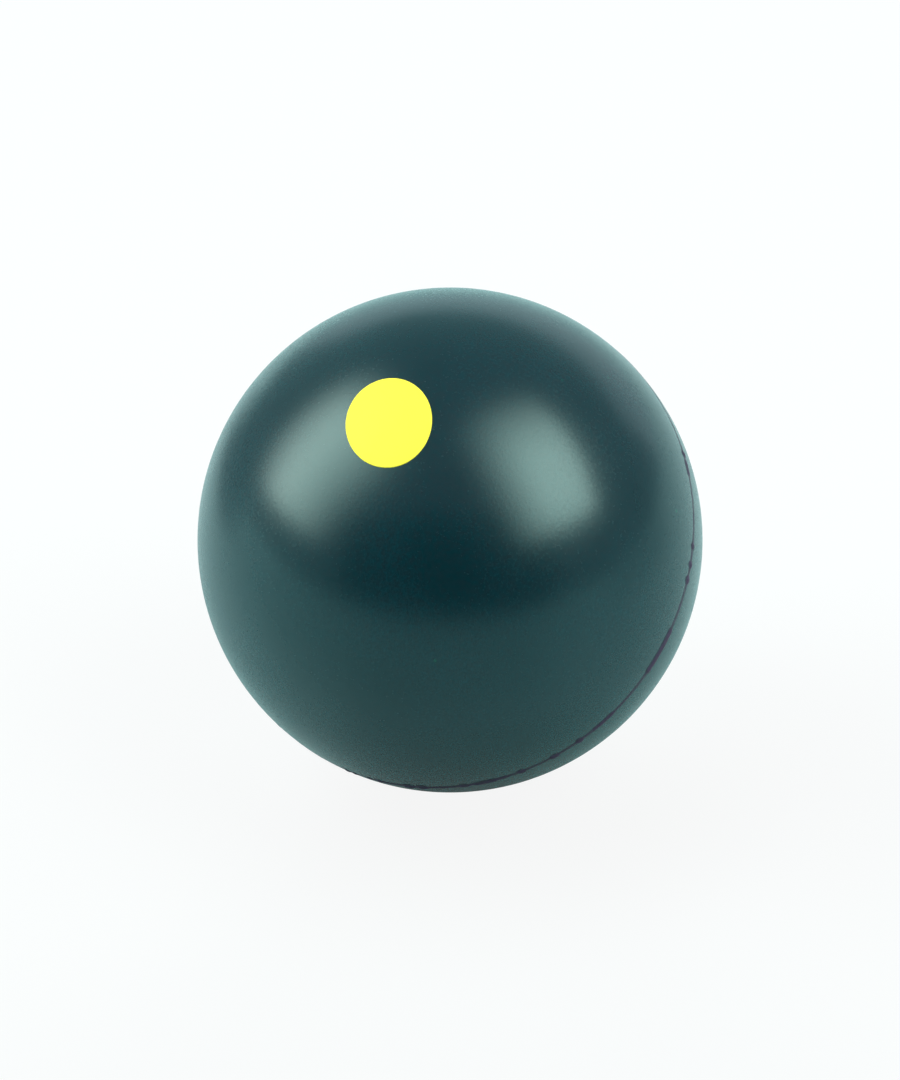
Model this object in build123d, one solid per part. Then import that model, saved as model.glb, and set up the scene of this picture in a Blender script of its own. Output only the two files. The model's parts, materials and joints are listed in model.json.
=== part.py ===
"""A squash ball: two moulded rubber half shells, cemented edge to edge and buffed round, with a printed dot.

Every piece is drawn about the seam's axis, which is local Z: the seam lies in the local XY plane, and the
dotted half is on the +Z side. The whole ball is then leaned over, as it lies on a table, so that the dotted
half faces up and to the front. The origin is the centre of the ball, and the finished frame has +Z up.
"""
import os

from build123d import *

# Driving dimensions, in millimetres
BALL_DIAMETER = 40.0  # buffed outside
WALL = 5.2  # rubber wall of each half shell
CEMENT_THICKNESS = 0.20  # bond line between the two joint faces
OUTER_EDGE_ROUND = 0.12  # joint face to outside, worn round by the buffing
INNER_EDGE_ROUND = 0.40  # joint face to cavity, moulded
CEMENT_SINK = 0.04  # depth of the cement line below the outside
CEMENT_BEAD = 0.65  # radius of the bead squeezed out into the cavity
DOT_LENGTH = 7.9
DOT_WIDTH = 6.8
DOT_INK = 0.05  # thickness of the printed film

# Driving angles, in degrees
DOT_OFF_POLE = 13.75  # from the seam's axis to the middle of the dot
DOT_HEADING = 95.2  # round the seam's axis, from local +X
DOT_TURN = 27.4  # from the line between the pole and the dot to the dot's long axis
SEAM_LEAN = 45.0  # seam's axis from +Z, towards -Y

# Sizes that follow
BALL_RADIUS = BALL_DIAMETER / 2
CAVITY_RADIUS = BALL_RADIUS - WALL


def half_wall_section():
    """The dotted half's wall, cut through the seam's axis: X is the distance from the axis, Y the height."""
    joint_face_height = CEMENT_THICKNESS / 2
    quarter = Rectangle(BALL_RADIUS, BALL_RADIUS, align=(Align.MIN, Align.MIN))
    wall = (Circle(BALL_RADIUS) - Circle(CAVITY_RADIUS)) & Pos(0, joint_face_height) * quarter
    outer_corner = wall.vertices().sort_by(Axis.X)[-1]
    wall = fillet(outer_corner, OUTER_EDGE_ROUND)
    inner_corner = wall.vertices().group_by(Axis.Y)[0].sort_by(Axis.X)[0]
    return fillet(inner_corner, INNER_EDGE_ROUND)


def turned_about_seam_axis(section):
    """A ring or shell with that section."""
    return revolve(Plane.XZ * section, Axis.Z)


def half_shell():
    """One moulded half, open side down. Both halves of a ball come out of the same mould."""
    return turned_about_seam_axis(half_wall_section())


def cement_ring():
    """The cement that fills the gap between the halves, from the outside groove to the bead in the cavity."""
    upper_wall = half_wall_section()
    lower_wall = mirror(upper_wall, about=Plane.XZ)
    outside_half = Rectangle(BALL_DIAMETER, 2 * BALL_DIAMETER, align=(Align.MIN, Align.CENTER))
    filled_to = Circle(BALL_RADIUS - CEMENT_SINK) & outside_half
    gap = filled_to - Circle(CAVITY_RADIUS) - upper_wall - lower_wall
    bead = Pos(CAVITY_RADIUS, 0) * Circle(CEMENT_BEAD) & Circle(CAVITY_RADIUS)
    return turned_about_seam_axis(gap + bead)


def printed_dot():
    """The ink film on the dotted half: an oval punched out of a thin skin that fits the ball."""
    poles_aside = Rot(0, 90, 0)
    skin = poles_aside * Sphere(BALL_RADIUS + DOT_INK) - poles_aside * Sphere(BALL_RADIUS)
    oval = Rot(0, 0, DOT_TURN) * Ellipse(DOT_LENGTH / 2, DOT_WIDTH / 2)
    at_the_pole = skin & extrude(oval, BALL_DIAMETER)
    return Rot(0, 0, DOT_HEADING) * Rot(0, DOT_OFF_POLE, 0) * at_the_pole


def build_ball():
    """Every piece by name, as the ball lies."""
    half = half_shell()
    about_the_seam_axis = {
        "dotted_half_shell": half,
        "plain_half_shell": Rot(180, 0, 0) * half,
        "cement_ring": cement_ring(),
        "printed_dot": printed_dot(),
    }
    as_it_lies = Rot(SEAM_LEAN, 0, 0)
    return {name: as_it_lies * piece for name, piece in about_the_seam_axis.items()}


os.makedirs("parts", exist_ok=True)
for node, piece in build_ball().items():
    piece.label = node
    export_step(piece, f"parts/{node}.step")
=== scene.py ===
"""Dresses a packed squash ball: two buffed rubber half shells, the cement of their seam and a printed dot.

Every piece is made about the seam's axis, with the seam in the local XY plane and the dotted half on the +Z
side, and is then leaned over as the ball lies. Lengths are in metres and angles in radians, unless a name
says otherwise. The file is laid out as an add-on and is run as a script.
"""

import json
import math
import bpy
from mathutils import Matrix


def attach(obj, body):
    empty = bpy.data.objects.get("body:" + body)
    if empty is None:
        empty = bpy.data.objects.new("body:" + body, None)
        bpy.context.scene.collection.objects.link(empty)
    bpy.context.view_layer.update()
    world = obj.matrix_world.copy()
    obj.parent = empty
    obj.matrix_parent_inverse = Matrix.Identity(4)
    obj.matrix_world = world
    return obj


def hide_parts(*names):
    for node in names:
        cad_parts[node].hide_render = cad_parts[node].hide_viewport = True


bl_info = {
    "name": "Squash Ball",
    "version": (1, 0, 0),
    "blender": (4, 5, 0),
    "location": "View3D > Sidebar > Ball",
    "description": "Makes a squash ball's half shells, cement ring and printed dot, and a studio for it",
    "category": "Add Mesh",
}

import bpy
from bpy.props import FloatProperty, FloatVectorProperty, IntProperty, PointerProperty
from mathutils import Matrix, Vector

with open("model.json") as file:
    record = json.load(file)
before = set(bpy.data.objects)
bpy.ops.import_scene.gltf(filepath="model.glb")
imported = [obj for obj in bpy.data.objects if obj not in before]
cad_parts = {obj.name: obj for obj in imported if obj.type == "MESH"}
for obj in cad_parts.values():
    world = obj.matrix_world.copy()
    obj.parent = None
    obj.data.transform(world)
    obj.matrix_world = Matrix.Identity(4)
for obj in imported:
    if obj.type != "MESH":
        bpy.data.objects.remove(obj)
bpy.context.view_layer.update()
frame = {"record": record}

BODY = "root"
SEAT = frame["record"]["mounts"][0]
MM = 0.001
QUARTER_TURN = math.pi / 2
FULL_TURN_DEGREES = 360.0

# Seeds of the swells and ripples
DOTTED_HALF_SEED = 1.0
PLAIN_HALF_SEED = 2.0
CEMENT_SEED = 3.0

# Half shell: least depth that isn't the top of its block, and most that isn't the bottom
TOP_DEPTH = 0.0001
BOTTOM_DEPTH = 0.9999

# Half shell's joint edge: shares of its rows at which the outer round and the joint face end
OUTER_ROUND_END = 1 / 3
JOINT_FACE_END = 2 / 3

# Half shell's outside: shares of the way from pole to joint between which the buffing swells die away
SWELLS_FADE = (0.85, 0.98)

# Cement's section: shares of the way from the middle of its crown to the tip of its bead at which parts end
CROWN_END = 0.45
CROWN_FOOT_END = 0.7
WEB_END = 0.75
BEAD_FOOT_END = 0.88

# Cement's section: the share at which it is out of sight, past the edge of the crown
SIGHT_END = 0.5

# Attribute of the cement's mesh: 0 where the cement hides the rubber, 1 where it is too thin to
CEMENT_THIN = "cement_thin"

# Where the cement swells: degrees round the seam, half its length in degrees, extra half width in millimetres
CEMENT_SWELLINGS = (
    (4.6, 0.7, 0.30),
    (8.1, 0.6, 0.26),
    (12.4, 0.5, 0.30),
    (30.8, 1.8, 0.22),
    (34.2, 0.7, 0.30),
    (75.0, 2.5, 0.15),
    (98.0, 1.0, 0.26),
    (121.0, 5.0, 0.20),
    (149.0, 1.2, 0.22),
    (171.0, 3.0, 0.24),
    (203.0, 0.8, 0.22),
    (226.0, 2.0, 0.24),
    (243.0, 0.9, 0.22),
    (263.2, 0.6, 0.30),
    (265.0, 0.5, 0.30),
    (268.8, 0.5, 0.20),
    (271.3, 0.6, 0.26),
    (278.4, 1.1, 0.40),
    (281.6, 1.0, 0.40),
    (286.0, 16.0, 0.10),
    (291.5, 0.9, 0.20),
    (296.5, 2.5, 0.18),
    (305.2, 0.8, 0.30),
    (313.5, 0.9, 0.28),
    (320.2, 0.7, 0.32),
    (327.0, 3.0, 0.14),
    (347.3, 5.6, 0.22),
)
SWELLING_TAPER_DEGREES = 0.5

# Noise: its middle, the span that most of it lies in, and how many finer layers it has
NOISE_MIDDLE = 0.5
NOISE_SPAN = (0.3, 0.7)
SPECKLE_SPAN = (0.35, 0.65)
SWELL_DETAIL = 1.0
RIPPLE_DETAIL = 2.0
GRAIN_DETAIL = 2.0
PATCH_DETAIL = 3.0

# Darkest and palest shade of a finish, as shares of its colour
CLOUD_SHADES = (0.82, 1.18)
CLOT_SHADES = (0.6, 1.4)
COAT_SHADES = (0.97, 1.0)

# Flecks: share of a fleck inside its soft edge, share of pale flecks, and shade of the dark ones
FLECK_CORE = 0.6
PALE_FLECK_SHARE = 0.7
DARK_FLECK_SHADE = 0.2

# Roughness: how much the clouds and the grain change the rubber's, and the least and most of the others
CLOUD_ROUGHNESS = 0.08
GRAIN_ROUGHNESS = 0.10
CEMENT_ROUGHNESS = (0.5, 0.8)
INK_ROUGHNESS = (0.55, 0.7)
MATT = 1.0

# Sockets of a Mix node that mixes colours, by number, because some share a name
MIX_SHARE, MIX_FIRST, MIX_SECOND = 0, 6, 7
MIX_COLOUR = 2

# Floor: cosines from its shaded side between which it turns to its painted pool of light, and between which
# its painted contact shadow sets in
LIGHT_POOL_SPAN = (0.5, -0.5)
FOOT_SHADOW_SPAN = (0.0, 1.0)

# Floor: squared sines from the camera's line between which its painted front shade turns into the lighter
# painted shade of its sides
SIDE_SPAN = (0.1, 0.6)
FLOOR_STEPS = 96

# A softbox's rise that ends at its near side, and a fade that starts at its far side: neither shows
NO_RISE = (-1.0, 0.0)
NO_FADE = (1.0, 2.0)


# Node trees


class Term:
    """A number in a node tree. A formula written with terms adds the Math nodes that work it out."""

    def __init__(self, socket):
        self.socket = socket

    def math(self, operation, *others, clamp=False):
        node = self.socket.id_data.nodes.new("ShaderNodeMath")
        node.operation = operation
        node.use_clamp = clamp
        for socket, value in zip(node.inputs, (self, *others)):
            feed(socket, value)
        return Term(node.outputs["Value"])

    def __add__(self, other):
        return self.math("ADD", other)

    def __radd__(self, other):
        return self.math("ADD", other)

    def __sub__(self, other):
        return self.math("SUBTRACT", other)

    def __rsub__(self, other):
        return self.math("MULTIPLY_ADD", -1.0, other)

    def __mul__(self, other):
        return self.math("MULTIPLY", other)

    def __rmul__(self, other):
        return self.math("MULTIPLY", other)

    def __truediv__(self, other):
        return self.math("DIVIDE", other)

    def sin(self):
        return self.math("SINE")

    def cos(self):
        return self.math("COSINE")

    def squared(self):
        return self.math("MULTIPLY", self)

    def root(self):
        return self.math("SQRT")

    def at_least(self, least):
        return self.math("MAXIMUM", least)

    def share(self, start, end):
        """How far the term has come from start to end: 0 before, 1 after."""
        return ((self - start) / (end - start)).math("ADD", 0.0, clamp=True)

    def eased(self, start, end):
        """The same, setting off and arriving gently. The start may be above the end."""
        ends = {"Value": self, "From Min": start, "From Max": end}
        node = add_node(self.socket.id_data, "ShaderNodeMapRange", ends, interpolation_type="SMOOTHSTEP")
        return Term(node.outputs["Result"])


def feed(socket, value):
    """Links a term or a socket to an input, or sets the input to a plain value."""
    if isinstance(value, Term):
        value = value.socket
    if isinstance(value, bpy.types.NodeSocket):
        socket.id_data.links.new(value, socket)
    else:
        socket.default_value = value


def add_node(tree, kind, inputs=None, **settings):
    """A new node with its settings made, and its inputs set or linked by name or number."""
    node = tree.nodes.new(kind)
    for name, value in settings.items():
        setattr(node, name, value)
    for key, value in (inputs or {}).items():
        feed(node.inputs[key], value)
    return node


def between(share, start, end):
    """The term that share of the way from start to end."""
    return start + share * (end - start)


def either(condition, if_true, if_false):
    """One of two terms, by a condition that is 1 or 0."""
    return between(condition, if_false, if_true)


# Forms, as geometry nodes


SOCKET_KINDS = {
    float: "NodeSocketFloat",
    int: "NodeSocketInt",
    Vector: "NodeSocketVector",
    bpy.types.Material: "NodeSocketMaterial",
}


def new_form(name, inputs):
    """A geometry tree with one named input for each of the inputs, and the inputs as terms by name."""
    tree = bpy.data.node_groups.new(name, "GeometryNodeTree")
    tree.interface.new_socket("Geometry", in_out="OUTPUT", socket_type="NodeSocketGeometry")
    for label, value in inputs.items():
        tree.interface.new_socket(label, in_out="INPUT", socket_type=SOCKET_KINDS[type(value)])
    entry = tree.nodes.new("NodeGroupInput")
    return tree, {label: Term(entry.outputs[label]) for label in inputs}


def end_form(tree, geometry, given):
    """Ends a tree: the form is smoothed, turned as the ball lies, made real and given its material."""
    steps = (
        ("GeometryNodeSetShadeSmooth", {}),
        ("GeometryNodeTransform", {"Rotation": given["Turn"]}),
        ("GeometryNodeRealizeInstances", {}),
        ("GeometryNodeSetMaterial", {"Material": given["Material"]}),
    )
    for kind, inputs in steps:
        geometry = add_node(tree, kind, {"Geometry": geometry, **inputs}).outputs["Geometry"]
    add_node(tree, "NodeGroupOutput", {"Geometry": geometry})


def cast(name, tree, inputs):
    """A piece with a plain mesh: what the tree makes of the inputs."""
    blank = bpy.data.meshes.new(name)
    piece = bpy.data.objects.new(name, blank)
    bpy.context.scene.collection.objects.link(piece)
    form = piece.modifiers.new("Form", "NODES")
    form.node_group = tree
    for item in tree.interface.items_tree:
        if item.in_out == "INPUT":
            form[item.identifier] = inputs[item.name]
    evaluated = piece.evaluated_get(bpy.context.evaluated_depsgraph_get())
    piece.data = bpy.data.meshes.new_from_object(evaluated)
    piece.modifiers.remove(form)
    bpy.data.meshes.remove(blank)
    piece.data.name = name
    return piece


def put_in_place_of(node, piece):
    """Fastens a piece to the ball, to stand for a CAD node."""
    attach(piece, BODY)
    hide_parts(node)


def point(tree, x, y, z):
    """A vector of three terms."""
    return add_node(tree, "ShaderNodeCombineXYZ", {"X": x, "Y": y, "Z": z}).outputs["Vector"]


def moved(tree, geometry, place):
    """The geometry with each point at its new place."""
    inputs = {"Geometry": geometry, "Position": place}
    return add_node(tree, "GeometryNodeSetPosition", inputs).outputs["Geometry"]


def block(tree, rows, side_rows):
    """A centred cube of side 2, with that many rows of faces over its top and down its sides."""
    counts = {"Vertices X": rows + 1, "Vertices Y": rows + 1, "Vertices Z": side_rows + 1}
    return add_node(tree, "GeometryNodeMeshCube", {"Size": (2.0, 2.0, 2.0), **counts}).outputs["Mesh"]


def rounded_block(tree):
    """The block squeezed into a drum of radius 1: X and Y there, and the depth from 0 (top) to 1 (bottom)."""
    place = add_node(tree, "GeometryNodeInputPosition")
    parts = add_node(tree, "ShaderNodeSeparateXYZ", {"Vector": place.outputs["Position"]})
    x, y, z = (Term(socket) for socket in parts.outputs)
    drum_x = x * (1 - y.squared() / 2).root()
    drum_y = y * (1 - x.squared() / 2).root()
    return drum_x, drum_y, (1 - z) / 2


def half_shell_form(inputs):
    """A bowl: the block's top becomes the outside, its sides the joint edge, and its bottom the cavity."""
    tree, given = new_form("Half shell", inputs)
    drum_x, drum_y, depth = rounded_block(tree)
    reach = (drum_x.squared() + drum_y.squared()).root()
    way_x = drum_x / reach
    way_y = drum_y / reach
    on_outside = depth.math("LESS_THAN", TOP_DEPTH)
    in_cavity = depth.math("GREATER_THAN", BOTTOM_DEPTH)

    # Centres of the two edge rounds, by distance from the seam's axis and height above the seam
    outside = given["Ball Radius"]
    cavity = outside - given["Wall"]
    outer_round = given["Outer Edge Round"]
    inner_round = given["Inner Edge Round"]
    outer_height = given["Joint Height"] + outer_round
    outer_out = ((outside - outer_round).squared() - outer_height.squared()).root()
    outer_tilt = outer_height.math("ARCTAN2", outer_out)
    inner_height = given["Joint Height"] + inner_round
    inner_out = ((cavity + inner_round).squared() - inner_height.squared()).root()
    inner_tilt = inner_height.math("ARCTAN2", inner_out)

    # The joint edge is the outer round, then the joint face, then the inner round
    outer_angle = between(depth.share(0, OUTER_ROUND_END), outer_tilt, -QUARTER_TURN)
    face_out = between(depth.share(OUTER_ROUND_END, JOINT_FACE_END), outer_out, inner_out)
    inner_angle = between(depth.share(JOINT_FACE_END, 1), -QUARTER_TURN, inner_tilt - math.pi)
    edge_out = face_out + outer_round * outer_angle.cos() + inner_round * inner_angle.cos()
    edge_height = outer_height + outer_round * outer_angle.sin() + inner_round * (inner_angle.sin() + 1)

    # The outside swells and sinks a little, as buffing leaves it, but not at the joint
    outside_angle = between(reach, QUARTER_TURN, outer_tilt)
    direction = point(tree, way_x * outside_angle.cos(), way_y * outside_angle.cos(), outside_angle.sin())
    scale = outside / given["Swell Length"]
    waves = {"Vector": direction, "W": given["Seed"], "Scale": scale, "Detail": SWELL_DETAIL}
    wave = Term(add_node(tree, "ShaderNodeTexNoise", waves, noise_dimensions="4D").outputs[0])
    buffed = outside + (wave - NOISE_MIDDLE) * given["Swell Height"] * (1 - reach.share(*SWELLS_FADE))

    cavity_angle = between(reach, QUARTER_TURN, inner_tilt)
    out = either(in_cavity, cavity * cavity_angle.cos(), edge_out)
    out = either(on_outside, buffed * outside_angle.cos(), out)
    height = either(in_cavity, cavity * cavity_angle.sin(), edge_height)
    height = either(on_outside, buffed * outside_angle.sin(), height)
    mould = block(tree, given["Rows"], given["Edge Rows"])
    end_form(tree, moved(tree, mould, point(tree, way_x * out, way_y * out, height)), given)
    return tree


def with_share(tree, curve):
    """The curve, and how far along it each point is, from 0 to 1, kept for the mesh that the curve makes."""
    parameter = add_node(tree, "GeometryNodeSplineParameter")
    kept = add_node(tree, "GeometryNodeCaptureAttribute", domain="POINT")
    kept.capture_items.new("FLOAT", "Share")
    feed(kept.inputs["Geometry"], curve)
    feed(kept.inputs["Share"], parameter.outputs["Factor"])
    return kept.outputs["Geometry"], Term(kept.outputs["Share"])


def swelling(tree, degrees, given):
    """How much wider than its thinnest half width the cement's crown is, that many degrees round the seam."""
    extra = 0.0
    for middle, half_length, height in CEMENT_SWELLINGS:
        away = (degrees - middle).math("WRAP", FULL_TURN_DEGREES / 2, -FULL_TURN_DEGREES / 2).math("ABSOLUTE")
        edge, top = half_length + SWELLING_TAPER_DEGREES, half_length - SWELLING_TAPER_DEGREES
        extra = away.eased(edge, top) * (height * MM) + extra
    radians = degrees * math.radians(1.0)
    seam_line = point(tree, radians.cos(), radians.sin(), given["Seed"])
    waves = {"Vector": seam_line, "Scale": given["Ripples"], "Detail": RIPPLE_DETAIL}
    wave = Term(add_node(tree, "ShaderNodeTexNoise", waves).outputs[0])
    return extra + wave * given["Ripple Width"]


def cement_form(inputs):
    """A ring along the seam: a crown outside, a web between the joint faces, and a bead in the cavity."""
    tree, given = new_form("Cement ring", inputs)
    path = add_node(tree, "GeometryNodeCurvePrimitiveCircle", {"Resolution": given["Steps Round"]})
    section = add_node(tree, "GeometryNodeCurvePrimitiveCircle", {"Resolution": given["Steps Across"]})
    path_curve, way_round = with_share(tree, path.outputs["Curve"])
    section_curve, way_across = with_share(tree, section.outputs["Curve"])
    ring = add_node(tree, "GeometryNodeCurveToMesh", {"Curve": path_curve, "Profile Curve": section_curve})

    # The section is drawn from the middle of the crown to the tip of the bead, once on each side of the seam
    half_way = (way_across * 2).math("PINGPONG", 1.0)
    side = (way_across - 1 / 2).math("SIGN")
    outside = given["Ball Radius"]
    cavity = outside - given["Wall"]
    joint = given["Joint Height"]
    bead = given["Bead Radius"]

    def worn_off(edge_round, height):
        """How far an edge of a half shell is rounded off, at that height above the seam."""
        below_round = (joint + edge_round - height).at_least(0.0)
        return edge_round - (edge_round.squared() - below_round.squared()).at_least(0.0).root()

    def outside_at(height):
        """Distance out to the worn outside of a half shell."""
        return (outside.squared() - height.squared()).root() - worn_off(given["Outer Edge Round"], height)

    def cavity_at(height):
        """Distance out to the rounded cavity wall of a half shell."""
        return (cavity.squared() - height.squared()).root() + worn_off(given["Inner Edge Round"], height)

    extra = swelling(tree, way_round * FULL_TURN_DEGREES, given)
    crown_width = given["Crown Half Width"] + extra
    crown_out = outside + extra * given["Crown Rise"]
    crown_share = half_way.share(0.0, CROWN_END)
    crown_angle = crown_share * QUARTER_TURN
    crown_height = crown_width * crown_angle.sin()
    crown_edge_out = outside_at(crown_width)
    crown_rise = (crown_out - crown_edge_out) * crown_angle.cos().squared()
    crown_foot_height = between(half_way.share(CROWN_END, CROWN_FOOT_END), crown_width, joint)
    bead_foot_height = between(half_way.share(WEB_END, BEAD_FOOT_END), joint, bead)
    bead_angle = half_way.share(BEAD_FOOT_END, 1.0) * QUARTER_TURN

    # Each stretch of the section starts where the one before it ends, so their steps add up
    height = crown_height + (crown_foot_height - crown_width) + (bead_foot_height - joint)
    height = height + bead * (bead_angle.cos() - 1)
    web = half_way.share(CROWN_FOOT_END, WEB_END) * (cavity_at(joint) - outside_at(joint))
    out = crown_edge_out + crown_rise + (outside_at(crown_foot_height) - crown_edge_out) + web
    out = out + (cavity_at(bead_foot_height) - cavity_at(joint)) - bead * bead_angle.sin()
    turn = way_round * math.tau
    place = point(tree, turn.cos() * out, turn.sin() * out, side * height)

    # The crown thins towards its edge, and all over where it is narrow
    solid = crown_share.eased(1.0, given["Solid Share"])
    sparse = extra.eased(given["Full Width"], 0.0) * given["Sparse Share"]
    thin = (1 - solid * (1 - sparse)) * half_way.math("LESS_THAN", SIGHT_END)
    marks = {"Geometry": moved(tree, ring.outputs["Mesh"], place), "Name": CEMENT_THIN, "Value": thin}
    marked = add_node(tree, "GeometryNodeStoreNamedAttribute", marks, data_type="FLOAT", domain="POINT")
    end_form(tree, marked.outputs["Geometry"], given)
    return tree


def dot_form(inputs):
    """An oval film that fits the ball: the block's top becomes the inked face, and its sides a round rim."""
    tree, given = new_form("Printed dot", inputs)
    drum_x, drum_y, depth = rounded_block(tree)
    rim_angle = depth * QUARTER_TURN
    rim_inset = given["Ink"] * (1 - rim_angle.sin())
    x = drum_x * (given["Length"] / 2 - rim_inset)
    y = drum_y * (given["Width"] / 2 - rim_inset)
    radius = given["Ball Radius"] + given["Ink"] * rim_angle.cos() - given["Key"] * depth
    z = (radius.squared() - x.squared() - y.squared()).root()
    film = moved(tree, block(tree, given["Rows"], given["Rim Rows"]), point(tree, x, y, z))
    end_form(tree, film, given)
    return tree


# Materials


def new_material(name):
    """A material, its tree, its Principled shader and the place of each point on the piece."""
    material = bpy.data.materials.new(name)
    material.use_nodes = True
    tree = material.node_tree
    place = add_node(tree, "ShaderNodeTexCoord").outputs["Object"]
    return material, tree, tree.nodes["Principled BSDF"], place


def set_shader(shader, inputs):
    """Sets or links some of a shader's inputs by name."""
    for name, value in inputs.items():
        feed(shader.inputs[name], value)


def noise(tree, place, lump, detail=GRAIN_DETAIL):
    """Noise with lumps of about that size, from 0 to 1."""
    node = add_node(tree, "ShaderNodeTexNoise", {"Vector": place, "Scale": 1 / lump, "Detail": detail})
    return Term(node.outputs[0])


def combined(tree, operation, *vectors):
    """A Vector Math node that works on those vectors."""
    return add_node(tree, "ShaderNodeVectorMath", dict(enumerate(vectors)), operation=operation)


def opaque(paint, shade=1.0):
    """A colour, or a darker or lighter shade of it, as the four numbers that a socket takes."""
    return (*(channel * shade for channel in paint), 1.0)


def mixed(tree, share, first, second):
    """A colour mixed from two."""
    inputs = {MIX_SHARE: share, MIX_FIRST: first, MIX_SECOND: second}
    return add_node(tree, "ShaderNodeMix", inputs, data_type="RGBA").outputs[MIX_COLOUR]


def mottled(tree, lumps, paint, shades):
    """A colour that goes from its darkest to its palest shade with the noise."""
    darkest, palest = shades
    return mixed(tree, lumps.share(*NOISE_SPAN), opaque(paint, darkest), opaque(paint, palest))


def relief(tree, height, distance):
    """The normal of a surface with a relief of that height."""
    return add_node(tree, "ShaderNodeBump", {"Distance": distance, "Height": height}).outputs["Normal"]


def rubber_material(finish):
    """Satin rubber: dark green, faintly mottled, with a fine buffed grain and a few pale and dark flecks."""
    material, tree, shader, place = new_material("buffed_rubber")
    cloud = noise(tree, place, finish.cloud_size, PATCH_DETAIL)
    grain = noise(tree, place, finish.grain_size)
    speckle = noise(tree, place, finish.speckle_size)
    base = mottled(tree, cloud, finish.rubber_colour, CLOUD_SHADES)
    base = mixed(tree, speckle.share(*SPECKLE_SPAN), base, opaque(finish.speckle_colour))

    # Flecks are the middles of cells, and each cell's random colour says whether its fleck is pale or dark
    cells = add_node(tree, "ShaderNodeTexVoronoi", {"Vector": place, "Scale": 1 / finish.fleck_spacing})
    fleck_edge = finish.fleck_size / 2 / finish.fleck_spacing
    fleck = 1 - Term(cells.outputs["Distance"]).share(fleck_edge * FLECK_CORE, fleck_edge)
    kind = Term(add_node(tree, "ShaderNodeSeparateColor", {"Color": cells.outputs["Color"]}).outputs[0])
    is_dark = kind.math("GREATER_THAN", PALE_FLECK_SHARE)
    dark_fleck = opaque(finish.rubber_colour, DARK_FLECK_SHADE)
    fleck_colour = mixed(tree, is_dark, opaque(finish.fleck_colour), dark_fleck)

    cloud_roughness = (cloud - NOISE_MIDDLE) * CLOUD_ROUGHNESS
    grain_roughness = (grain - NOISE_MIDDLE) * GRAIN_ROUGHNESS
    set_shader(shader, {
        "Base Color": mixed(tree, fleck, base, fleck_colour),
        "Roughness": finish.rubber_roughness + cloud_roughness + grain_roughness,
        "Specular IOR Level": finish.rubber_gloss,
        "Specular Tint": opaque(finish.gloss_tint),
        "Sheen Weight": finish.rubber_bloom,
        "Sheen Tint": opaque(finish.bloom_tint),
        "Normal": relief(tree, grain, finish.grain_height),
    })
    return material


def cement_material(finish):
    """Rubber cement: dull, dark and uneven, and so thin at its edges that the rubber shows through."""
    material, tree, shader, place = new_material("rubber_cement")
    clot = noise(tree, place, finish.clot_size, PATCH_DETAIL)
    thin = Term(add_node(tree, "ShaderNodeAttribute", attribute_name=CEMENT_THIN).outputs["Fac"])
    base = mottled(tree, clot, finish.cement_colour, CLOT_SHADES)
    set_shader(shader, {
        "Base Color": mixed(tree, thin, base, opaque(finish.rubber_colour)),
        "Roughness": between(thin, between(clot, *CEMENT_ROUGHNESS), finish.rubber_roughness),
        "Specular IOR Level": finish.cement_gloss,
        "Normal": relief(tree, clot, finish.clot_height),
    })
    return material


def ink_material(finish):
    """Printing ink: an even coat that half fills the rubber's grain."""
    material, tree, shader, place = new_material("dot_ink")
    coat = noise(tree, place, finish.coat_size, PATCH_DETAIL)
    grain = noise(tree, place, finish.grain_size)
    set_shader(shader, {
        "Base Color": mottled(tree, coat, finish.ink_colour, COAT_SHADES),
        "Roughness": between(grain, *INK_ROUGHNESS),
        "Specular IOR Level": finish.ink_gloss,
        "Normal": relief(tree, grain, finish.grain_height / 2),
    })
    return material


# Studio


def toward(azimuth, elevation=0.0):
    """The direction from the ball at that azimuth, from the front to its right, and elevation."""
    level = math.cos(elevation)
    return Vector((math.sin(azimuth) * level, -math.cos(azimuth) * level, math.sin(elevation)))


def facing_ball(azimuth, elevation, distance, roll=0.0):
    """Where a lamp, a camera or a card stands when it faces the ball from there."""
    back = toward(azimuth, elevation)
    turn = (-back).to_track_quat("-Z", "Y").to_matrix().to_4x4()
    return Matrix.Translation(back * distance) @ turn @ Matrix.Rotation(roll, 4, "Z")


def sheet(name, corners, material):
    """A flat stage piece with those corners."""
    mesh = bpy.data.meshes.new(name)
    mesh.from_pydata(corners, [], [tuple(range(len(corners)))])
    mesh.materials.append(material)
    piece = bpy.data.objects.new(name, mesh)
    bpy.context.scene.collection.objects.link(piece)
    return piece


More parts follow.
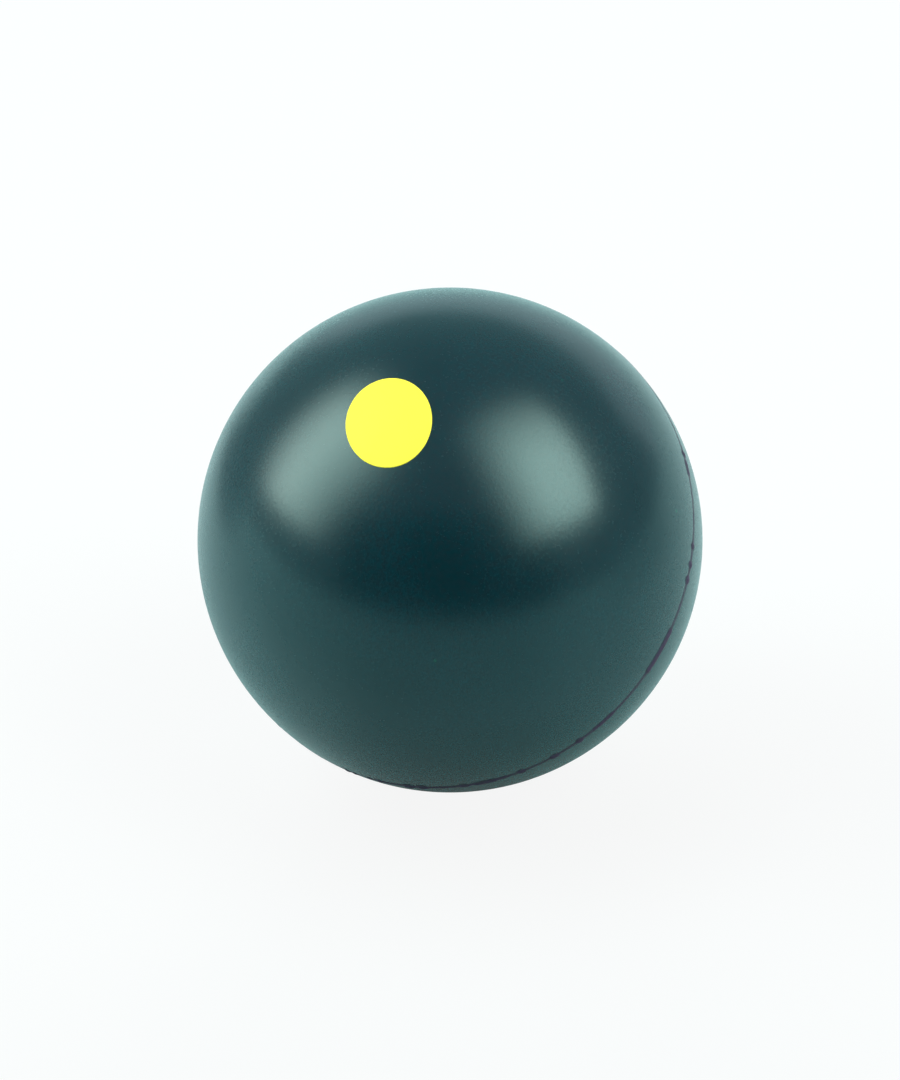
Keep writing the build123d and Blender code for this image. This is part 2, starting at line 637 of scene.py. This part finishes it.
def floor_material(studio):
    """The floor: a painted pool of light behind the ball, painted shade in front, lighter to its sides, and a
    dull patch on each side.

    It is painted with a dark contact shadow at its foot. The camera sees it as nearly white, with the ball's
    shadow.
    """
    material, tree, shader, place = new_material("studio_floor")
    from_seat = combined(tree, "SUBTRACT", place, Vector(SEAT["pos_m"])).outputs["Vector"]
    reach = Term(combined(tree, "LENGTH", from_seat).outputs["Value"])

    def cosine_from(azimuth):
        """How nearly each point of the floor lies that way from the seat: from -1 to 1."""
        along = combined(tree, "DOT_PRODUCT", from_seat, toward(azimuth))
        return Term(along.outputs["Value"]) / reach

    def patch(azimuth):
        """A patch of floor on that side of the ball: 1 in its middle, and 0 outside it."""
        return cosine_from(azimuth).eased(studio.patch_edge, 1.0)

    sideways = cosine_from(studio.camera_azimuth - QUARTER_TURN).squared()
    forward = cosine_from(studio.shaded_side_azimuth)
    patches = patch(studio.left_patch_azimuth) + patch(studio.right_patch_azimuth) * studio.right_patch_share
    dull = patches * reach.eased(studio.pale_radius, studio.dull_radius)
    # Mask of the painted contact shadow: in front of the ball, close to its foot
    dark = forward.eased(*FOOT_SHADOW_SPAN) * reach.eased(studio.foot_shadow_end, studio.foot_shadow_start)
    # Painted shade in front of the ball, lighter to its sides, then a painted pool of light behind it, the
    # dull patches and the painted contact shadow
    base = mixed(tree, sideways.eased(*SIDE_SPAN), opaque(studio.painted_front_shade), opaque(studio.painted_side_shade))
    base = mixed(tree, forward.eased(*LIGHT_POOL_SPAN), base, opaque(studio.painted_light_pool))
    base = mixed(tree, dull, base, opaque(studio.patch_floor))
    base = mixed(tree, dark, base, opaque(studio.painted_foot_shadow))
    set_shader(shader, {"Base Color": base, "Roughness": MATT, "Specular IOR Level": 0.0})

    rays = add_node(tree, "ShaderNodeLightPath")
    seen = Term(rays.outputs["Is Camera Ray"])
    mirrored = Term(rays.outputs["Is Glossy Ray"]) + Term(rays.outputs["Is Transmission Ray"])
    white_share = seen * studio.seen_white + mirrored.math("MINIMUM", 1.0) * studio.mirrored_white
    white = add_node(tree, "ShaderNodeEmission", {"Color": (1.0, 1.0, 1.0, 1.0), "Strength": 1.0})
    blend = (white_share, shader.outputs["BSDF"], white.outputs["Emission"])
    surface = add_node(tree, "ShaderNodeMixShader", dict(enumerate(blend)))
    feed(tree.nodes["Material Output"].inputs["Surface"], surface.outputs["Shader"])
    return material


def make_floor(studio):
    """A round floor under the ball."""
    radius = studio.floor_radius
    height = SEAT["pos_m"][2]
    turns = [math.tau * step / FLOOR_STEPS for step in range(FLOOR_STEPS)]
    rim = [(radius * math.cos(turn), radius * math.sin(turn), height) for turn in turns]
    sheet("studio_floor", rim, floor_material(studio))


def make_dark_card(studio):
    """A dark card beyond the camera, which keeps the near side of the ball from shining."""
    material, _, shader, _ = new_material("dark_card")
    set_shader(shader, {"Base Color": opaque(studio.card_colour), "Roughness": MATT})
    right = studio.card_width / 2
    top = studio.card_height / 2
    stand = facing_ball(studio.camera_azimuth, studio.card_elevation, studio.card_distance)
    corners = ((-right, -top), (right, -top), (right, top), (-right, top))
    card = sheet("dark_card", [stand @ Vector((x, y, 0.0)) for x, y in corners], material)
    card.visible_camera = False


def make_softbox(name, aim, distance, size, brightness, tint, rise_across, fade_across, fade_up):
    """A lamp box whose glow rises and fades across it, and fades up it.

    A rise or a fade is two shares of the box's side: where it starts and where it ends.
    """
    azimuth, elevation, roll = aim
    lamp = bpy.data.lights.new(name, "AREA")
    lamp.shape = "RECTANGLE"
    lamp.size, lamp.size_y = size
    lamp.energy = brightness * math.pi * lamp.size * lamp.size_y
    lamp.color = tint
    lamp.use_nodes = True
    tree = lamp.node_tree
    place = add_node(tree, "ShaderNodeNewGeometry").outputs["Parametric"]
    parts = add_node(tree, "ShaderNodeSeparateXYZ", {"Vector": place})
    across = Term(parts.outputs["X"])
    up = Term(parts.outputs["Y"])
    glow = across.eased(*rise_across) * (1 - across.eased(*fade_across)) * (1 - up.eased(*fade_up))
    feed(tree.nodes["Emission"].inputs["Strength"], glow)
    box = bpy.data.objects.new(name, lamp)
    box.matrix_world = facing_ball(azimuth, elevation, distance, roll)
    box.visible_camera = False
    bpy.context.scene.collection.objects.link(box)


def make_softboxes(studio):
    """A bright softbox on each side of the ball, and a weak one behind it."""
    distance = studio.lamp_distance
    left = (studio.left_size, studio.left_brightness, studio.lamp_tint)
    left_glow = (studio.left_rise_across, studio.left_fade_across, studio.left_fade_up)
    make_softbox("left_softbox", studio.left_aim, distance, *left, *left_glow)
    right = (studio.right_size, studio.right_brightness, studio.lamp_tint)
    right_glow = (NO_RISE, studio.right_fade_across, studio.right_fade_up)
    make_softbox("right_softbox", studio.right_aim, distance, *right, *right_glow)
    back = (studio.back_size, studio.back_brightness, studio.back_tint)
    back_glow = (NO_RISE, studio.back_fade_across, NO_FADE)
    make_softbox("back_softbox", studio.back_aim, distance, *back, *back_glow)


def make_world(studio):
    """Light from all round, of one colour at the horizon and another overhead."""
    world = bpy.data.worlds.new("studio_light")
    bpy.context.scene.world = world
    world.use_nodes = True
    tree = world.node_tree
    direction = add_node(tree, "ShaderNodeTexCoord").outputs["Generated"]
    height = Term(add_node(tree, "ShaderNodeSeparateXYZ", {"Vector": direction}).outputs["Z"])
    sky = mixed(tree, height.share(0.0, 1.0), opaque(studio.horizon_light), opaque(studio.overhead_light))
    feed(tree.nodes["Background"].inputs["Color"], sky)


def make_camera(studio):
    """The camera, at the photograph's angle."""
    camera = bpy.data.cameras.new("camera")
    camera.lens = studio.camera_lens_mm
    camera.sensor_width = studio.camera_sensor_mm
    camera.clip_start = studio.camera_clip
    eye = bpy.data.objects.new("camera", camera)
    eye.matrix_world = facing_ball(studio.camera_azimuth, studio.camera_elevation, studio.camera_distance)
    bpy.context.scene.collection.objects.link(eye)
    bpy.context.scene.camera = eye


# Properties


def length(name, description, millimetres):
    """A size property, given in millimetres and kept in metres."""
    default = millimetres * MM
    return FloatProperty(name=name, description=description, default=default, unit="LENGTH", precision=6)


def lengths(name, description, millimetres):
    """A property of two lengths, given in millimetres and kept in metres."""
    default = [value * MM for value in millimetres]
    return FloatVectorProperty(name=name, description=description, default=default, size=2, unit="LENGTH")


def angle(name, description, degrees):
    """An angle property, given in degrees and kept in radians."""
    return FloatProperty(name=name, description=description, default=math.radians(degrees), subtype="ANGLE")


def angles(name, description, degrees):
    """A property of three angles, given in degrees and kept in radians."""
    default = [math.radians(value) for value in degrees]
    return FloatVectorProperty(name=name, description=description, default=default, unit="ROTATION")


def colour(name, description, default):
    """A colour property, in linear light."""
    look = {"subtype": "COLOR", "min": 0.0, "max": 1.0}
    return FloatVectorProperty(name=name, description=description, default=default, **look)


def number(name, description, default):
    """A plain number property."""
    return FloatProperty(name=name, description=description, default=default, precision=3)


def shares(name, description, default):
    """A property of two plain shares."""
    return FloatVectorProperty(name=name, description=description, default=default, size=2)


def count(name, description, default):
    """A property that counts rows or steps."""
    return IntProperty(name=name, description=description, default=default)


class BallSizes(bpy.types.PropertyGroup):
    """The ball's sizes."""

    radius: length("Ball Radius", "Centre to the buffed outside", SEAT["dims"]["r_mm"])
    wall: length("Wall", "Rubber wall of each half shell", 5.2)
    cement_thickness: length("Cement Thickness", "Between the two joint faces", 0.20)
    outer_edge_round: length("Outer Edge Round", "Joint face to outside, worn by buffing", 0.12)
    inner_edge_round: length("Inner Edge Round", "Joint face to cavity", 0.40)
    crown_half_width: length("Crown Half Width", "Cement line outside, at its thinnest", 0.22)
    full_width: length("Full Width", "Extra half width from which the cement line hides the rubber", 0.18)
    solid_share: number("Solid Share", "Share of the cement line's width that hides the rubber", 0.2)
    sparse_share: number("Sparse Share", "How far the rubber shows through the thinnest cement line", 0.5)
    crown_rise: number("Crown Rise", "How fast a wider cement line grows taller", 0.22)
    bead_radius: length("Bead Radius", "Cement squeezed out into the cavity", 0.65)
    ripple_width: length("Ripple Width", "Unevenness of the cement line", 0.10)
    ripples: number("Ripples", "Waves of the cement line for each radian round the seam", 12.0)
    swell_height: length("Swell Height", "Highest to lowest of the buffed outside", 0.012)
    swell_length: length("Swell Length", "From one swell of the outside to the next", 5.0)
    dot_length: length("Dot Length", "Long axis of the printed dot", 7.9)
    dot_width: length("Dot Width", "Short axis of the printed dot", 6.8)
    dot_ink: length("Dot Ink", "Thickness of the ink", 0.05)
    dot_key: length("Dot Key", "Depth to which the ink wets into the rubber", 0.02)
    dot_off_pole: angle("Dot off Pole", "Seam's axis to the middle of the dot", 13.75)
    dot_heading: angle("Dot Heading", "Round the seam's axis to the dot", 95.2)
    dot_turn: angle("Dot Turn", "Pole line to the dot's long axis", 27.4)
    seam_lean: angle("Seam Lean", "Seam's axis from upright, towards the front", 45.0)
    shell_rows: count("Shell Rows", "Rows of faces across a half shell", 128)
    edge_rows: count("Edge Rows", "Rows of faces round the joint edge", 24)
    cement_steps: count("Cement Steps", "Steps round the cement ring", 1440)
    section_steps: count("Section Steps", "Steps round the cement's section", 48)
    dot_rows: count("Dot Rows", "Rows of faces across the dot", 72)
    dot_rim_rows: count("Dot Rim Rows", "Rows of faces down the dot's rim", 6)


class BallFinish(bpy.types.PropertyGroup):
    """The ball's colours and surfaces."""

    rubber_colour: colour("Rubber", "Rubber of both half shells", (0.0006, 0.0205, 0.0295))
    gloss_tint: colour("Gloss Tint", "Colour of the rubber's shine", (0.60, 1.0, 1.0))
    bloom_tint: colour("Bloom Tint", "Colour of the faint bloom on the rubber", (0.1, 1.0, 1.0))
    cement_colour: colour("Cement", "Cement line", (0.032, 0.020, 0.058))
    speckle_colour: colour("Speckle", "Fine warmer speckle in the rubber", (0.0036, 0.0175, 0.0255))
    fleck_colour: colour("Fleck", "Paler flecks in the rubber", (0.006, 0.075, 0.055))
    ink_colour: colour("Dot Ink", "Printed dot", (0.88, 0.88, 0.06))
    rubber_roughness: number("Rubber Roughness", "Blur of the rubber's shine", 0.26)
    rubber_gloss: number("Rubber Gloss", "Strength of the rubber's shine", 0.6)
    rubber_bloom: number("Rubber Bloom", "Strength of the faint bloom on the rubber", 0.10)
    cement_gloss: number("Cement Gloss", "Strength of the cement's shine", 0.38)
    ink_gloss: number("Ink Gloss", "Strength of the ink's shine", 0.3)
    cloud_size: length("Cloud Size", "Broad patches in the rubber's colour", 7.0)
    speckle_size: length("Speckle Size", "Fine speckle in the rubber's colour", 0.35)
    grain_size: length("Grain Size", "Buffed grain", 0.24)
    grain_height: length("Grain Height", "Depth of the buffed grain", 0.0045)
    fleck_spacing: length("Fleck Spacing", "From one fleck to the next, through the rubber", 4.5)
    fleck_size: length("Fleck Size", "Largest width of a fleck", 0.35)
    clot_size: length("Clot Size", "Lumps in the cement", 0.30)
    clot_height: length("Clot Height", "Relief of the cement", 0.02)
    coat_size: length("Coat Size", "Patches in the ink", 1.5)


class StudioSettings(bpy.types.PropertyGroup):
    """The studio's camera, floor and light. An azimuth goes round the ball, from its front to its right."""

    camera_azimuth: angle("Camera Azimuth", "Camera, round the ball", 24.87)
    camera_elevation: angle("Camera Elevation", "Camera, above the horizon", 33.49)
    camera_distance: length("Camera Distance", "Camera, from the ball's centre", 500.0)
    camera_clip: length("Camera Clip", "Nearest that the camera sees", 50.0)
    camera_lens_mm: number("Lens", "Focal length in millimetres", 210.3)
    camera_sensor_mm: number("Sensor", "Long side of the sensor in millimetres", 36.0)
    floor_radius: length("Floor Radius", "Size of the round floor", 2500.0)
    # Side of the ball toward which the floor is painted with shade and with the contact shadow
    shaded_side_azimuth: angle("Floor Azimuth", "Side of the ball where the floor is dull", 44.9)
    pale_radius: length("Pale Radius", "Dull patches of the floor: how far out there are none", 85.0)
    dull_radius: length("Dull Radius", "Dull patches of the floor: how far out they are dullest", 122.0)
    left_patch_azimuth: angle("Left Patch Azimuth", "Dull patch of floor behind, to the left", 258.0)
    right_patch_azimuth: angle("Right Patch Azimuth", "Dull patch of floor to the right", 114.9)
    patch_edge: number("Patch Edge", "Cosine of half the angle that a dull patch spans", 0.90)
    right_patch_share: number("Right Patch Share", "Strength of the right patch beside the left one", 0.45)
    # Painted contact shadow at the ball's foot: where it is darkest, where it ends, and its colour
    foot_shadow_start: length("Foot Start", "Floor in front of the ball: how far out it is darkest", 14.0)
    foot_shadow_end: length("Foot End", "Floor in front of the ball: how far out its dark foot ends", 34.0)
    painted_foot_shadow: colour("Foot Floor", "Darkest floor, at the ball's foot", (0.165, 0.255, 0.26))
    # Painted shade on the floor in front of the ball and to its sides, and the painted pool of light behind
    # it
    painted_front_shade: colour("Front Floor", "Floor in front of the ball", (0.295, 0.44, 0.47))
    painted_side_shade: colour("Side Floor", "Floor in front of the ball, to its left and right", (0.37, 0.54, 0.57))
    painted_light_pool: colour("Pale Floor", "Floor behind the ball", (0.465, 0.70, 0.74))
    patch_floor: colour("Patch Floor", "Dull patches of the floor", (0.12, 0.17, 0.19))
    seen_white: number("Seen White", "Share of plain white in the floor that is seen", 0.90)
    mirrored_white: number("Mirrored White", "Share of plain white in the floor that is mirrored", 0.10)
    horizon_light: colour("Horizon Light", "Light all round, at the horizon", (0.29, 0.33, 0.35))
    overhead_light: colour("Overhead Light", "Light overhead", (0.29, 0.21, 0.24))
    card_elevation: angle("Card Elevation", "Dark card, above the horizon", 21.3)
    card_distance: length("Card Distance", "Dark card, from the ball", 1500.0)
    card_width: length("Card Width", "Dark card", 3570.0)
    card_height: length("Card Height", "Dark card", 1390.0)
    card_colour: colour("Card Colour", "Dark card", (0.01, 0.01, 0.01))
    lamp_distance: length("Lamp Distance", "Every softbox, from the ball", 600.0)
    lamp_tint: colour("Lamp Tint", "Colour of the left and right softboxes", (1.0, 0.955, 0.865))
    left_aim: angles("Left Aim", "Left softbox: azimuth, elevation and roll", (-70.7, 49.3, 13.6))
    left_size: lengths("Left Size", "Left softbox: width and height", (796.0, 904.0))
    left_brightness: number("Left Brightness", "Left softbox, where it is brightest", 7.55)
    left_rise_across: shares("Left Rise Across", "Left softbox: where its glow rises", (0.02, 0.42))
    left_fade_across: shares("Left Fade Across", "Left softbox: where its glow fades", (0.40, 1.02))
    left_fade_up: shares("Left Fade Up", "Left softbox: where its glow fades upwards", (0.51, 0.79))
    right_aim: angles("Right Aim", "Right softbox: azimuth, elevation and roll", (68.9, 56.0, -2.1))
    right_size: lengths("Right Size", "Right softbox: width and height", (908.0, 681.0))
    right_brightness: number("Right Brightness", "Right softbox, where it is brightest", 7.95)
    right_fade_across: shares("Right Fade Across", "Right softbox: where its glow fades", (0.69, 0.35))
    right_fade_up: shares("Right Fade Up", "Right softbox: where its glow fades upwards", (0.42, 1.10))
    back_aim: angles("Back Aim", "Back softbox: azimuth, elevation and roll", (191.3, 9.5, 0.0))
    back_size: lengths("Back Size", "Back softbox: width and height", (994.0, 250.0))
    back_brightness: number("Back Brightness", "Back softbox, where it is brightest", 0.58)
    back_fade_across: shares("Back Fade Across", "Back softbox: where its glow fades", (0.88, 1.04))
    back_tint: colour("Back Tint", "Colour of the back softbox", (0.83, 0.94, 1.0))


# Operators


def joint_inputs(sizes):
    """Sizes of the joint, which the half shells and the cement ring share."""
    return {
        "Ball Radius": sizes.radius,
        "Wall": sizes.wall,
        "Joint Height": sizes.cement_thickness / 2,
        "Outer Edge Round": sizes.outer_edge_round,
        "Inner Edge Round": sizes.inner_edge_round,
    }


class BALL_OT_half_shells(bpy.types.Operator):
    """Make the dotted and the plain half shell, which come out of the same mould"""

    bl_idname = "ball.half_shells"
    bl_label = "Half Shells"

    def execute(self, context):
        sizes = context.scene.ball_sizes
        inputs = {
            **joint_inputs(sizes),
            "Swell Height": sizes.swell_height,
            "Swell Length": sizes.swell_length,
            "Rows": sizes.shell_rows,
            "Edge Rows": sizes.edge_rows,
            "Seed": DOTTED_HALF_SEED,
            "Turn": Vector((sizes.seam_lean, 0.0, 0.0)),
            "Material": rubber_material(context.scene.ball_finish),
        }
        form = half_shell_form(inputs)
        dotted_half = cast("rubber_dotted_half_shell", form, inputs)
        put_in_place_of("dotted_half_shell", dotted_half)
        turned_over = {"Seed": PLAIN_HALF_SEED, "Turn": Vector((sizes.seam_lean + math.pi, 0.0, 0.0))}
        plain_half = cast("rubber_plain_half_shell", form, {**inputs, **turned_over})
        put_in_place_of("plain_half_shell", plain_half)
        return {"FINISHED"}


class BALL_OT_cement_ring(bpy.types.Operator):
    """Make the cement that joins the half shells and shows as the seam's dark line"""

    bl_idname = "ball.cement_ring"
    bl_label = "Cement Ring"

    def execute(self, context):
        sizes = context.scene.ball_sizes
        inputs = {
            **joint_inputs(sizes),
            "Crown Half Width": sizes.crown_half_width,
            "Full Width": sizes.full_width,
            "Solid Share": sizes.solid_share,
            "Sparse Share": sizes.sparse_share,
            "Crown Rise": sizes.crown_rise,
            "Bead Radius": sizes.bead_radius,
            "Ripple Width": sizes.ripple_width,
            "Ripples": sizes.ripples,
            "Steps Round": sizes.cement_steps,
            "Steps Across": sizes.section_steps,
            "Seed": CEMENT_SEED,
            "Turn": Vector((sizes.seam_lean, 0.0, 0.0)),
            "Material": cement_material(context.scene.ball_finish),
        }
        put_in_place_of("cement_ring", cast("seam_cement", cement_form(inputs), inputs))
        return {"FINISHED"}


class BALL_OT_printed_dot(bpy.types.Operator):
    """Make the oval of ink on the dotted half"""

    bl_idname = "ball.printed_dot"
    bl_label = "Printed Dot"

    def execute(self, context):
        sizes = context.scene.ball_sizes
        at_pole = Matrix.Rotation(sizes.dot_turn, 3, "Z")
        off_pole = Matrix.Rotation(sizes.dot_off_pole, 3, "Y")
        headed = Matrix.Rotation(sizes.dot_heading, 3, "Z")
        leaned = Matrix.Rotation(sizes.seam_lean, 3, "X")
        inputs = {
            "Ball Radius": sizes.radius,
            "Length": sizes.dot_length,
            "Width": sizes.dot_width,
            "Ink": sizes.dot_ink,
            "Key": sizes.dot_key,
            "Rows": sizes.dot_rows,
            "Rim Rows": sizes.dot_rim_rows,
            "Turn": Vector((leaned @ headed @ off_pole @ at_pole).to_euler()),
            "Material": ink_material(context.scene.ball_finish),
        }
        put_in_place_of("printed_dot", cast("ink_dot", dot_form(inputs), inputs))
        return {"FINISHED"}


class BALL_OT_studio(bpy.types.Operator):
    """Make the floor, the light and the camera"""

    bl_idname = "ball.studio"
    bl_label = "Studio"

    def execute(self, context):
        studio = context.scene.ball_studio
        context.scene.view_settings.view_transform = "Standard"
        make_floor(studio)
        make_dark_card(studio)
        make_world(studio)
        make_softboxes(studio)
        make_camera(studio)
        return {"FINISHED"}


class BALL_PT_builder(bpy.types.Panel):
    """Lists the ball's pieces, sizes and finishes"""

    bl_label = "Squash Ball"
    bl_idname = "BALL_PT_builder"
    bl_space_type = "VIEW_3D"
    bl_region_type = "UI"
    bl_category = "Ball"

    def draw(self, context):
        for operator in OPERATORS:
            self.layout.operator(operator.bl_idname)
        for name in GROUPS:
            group = getattr(context.scene, name)
            column = self.layout.column()
            column.label(text=name.replace("_", " ").title())
            for setting in group.__annotations__:
                column.prop(group, setting)


GROUPS = {"ball_sizes": BallSizes, "ball_finish": BallFinish, "ball_studio": StudioSettings}
OPERATORS = (BALL_OT_half_shells, BALL_OT_cement_ring, BALL_OT_printed_dot, BALL_OT_studio)


def register():
    for made in (*GROUPS.values(), *OPERATORS, BALL_PT_builder):
        bpy.utils.register_class(made)
    for name, group in GROUPS.items():
        setattr(bpy.types.Scene, name, PointerProperty(type=group))


def unregister():
    for name in GROUPS:
        delattr(bpy.types.Scene, name)
    for made in (BALL_PT_builder, *reversed(OPERATORS), *reversed(GROUPS.values())):
        bpy.utils.unregister_class(made)


def main():
    register()
    bpy.ops.ball.half_shells()
    bpy.ops.ball.cement_ring()
    bpy.ops.ball.printed_dot()
    bpy.ops.ball.studio()


if __name__ == "__main__":
    main()
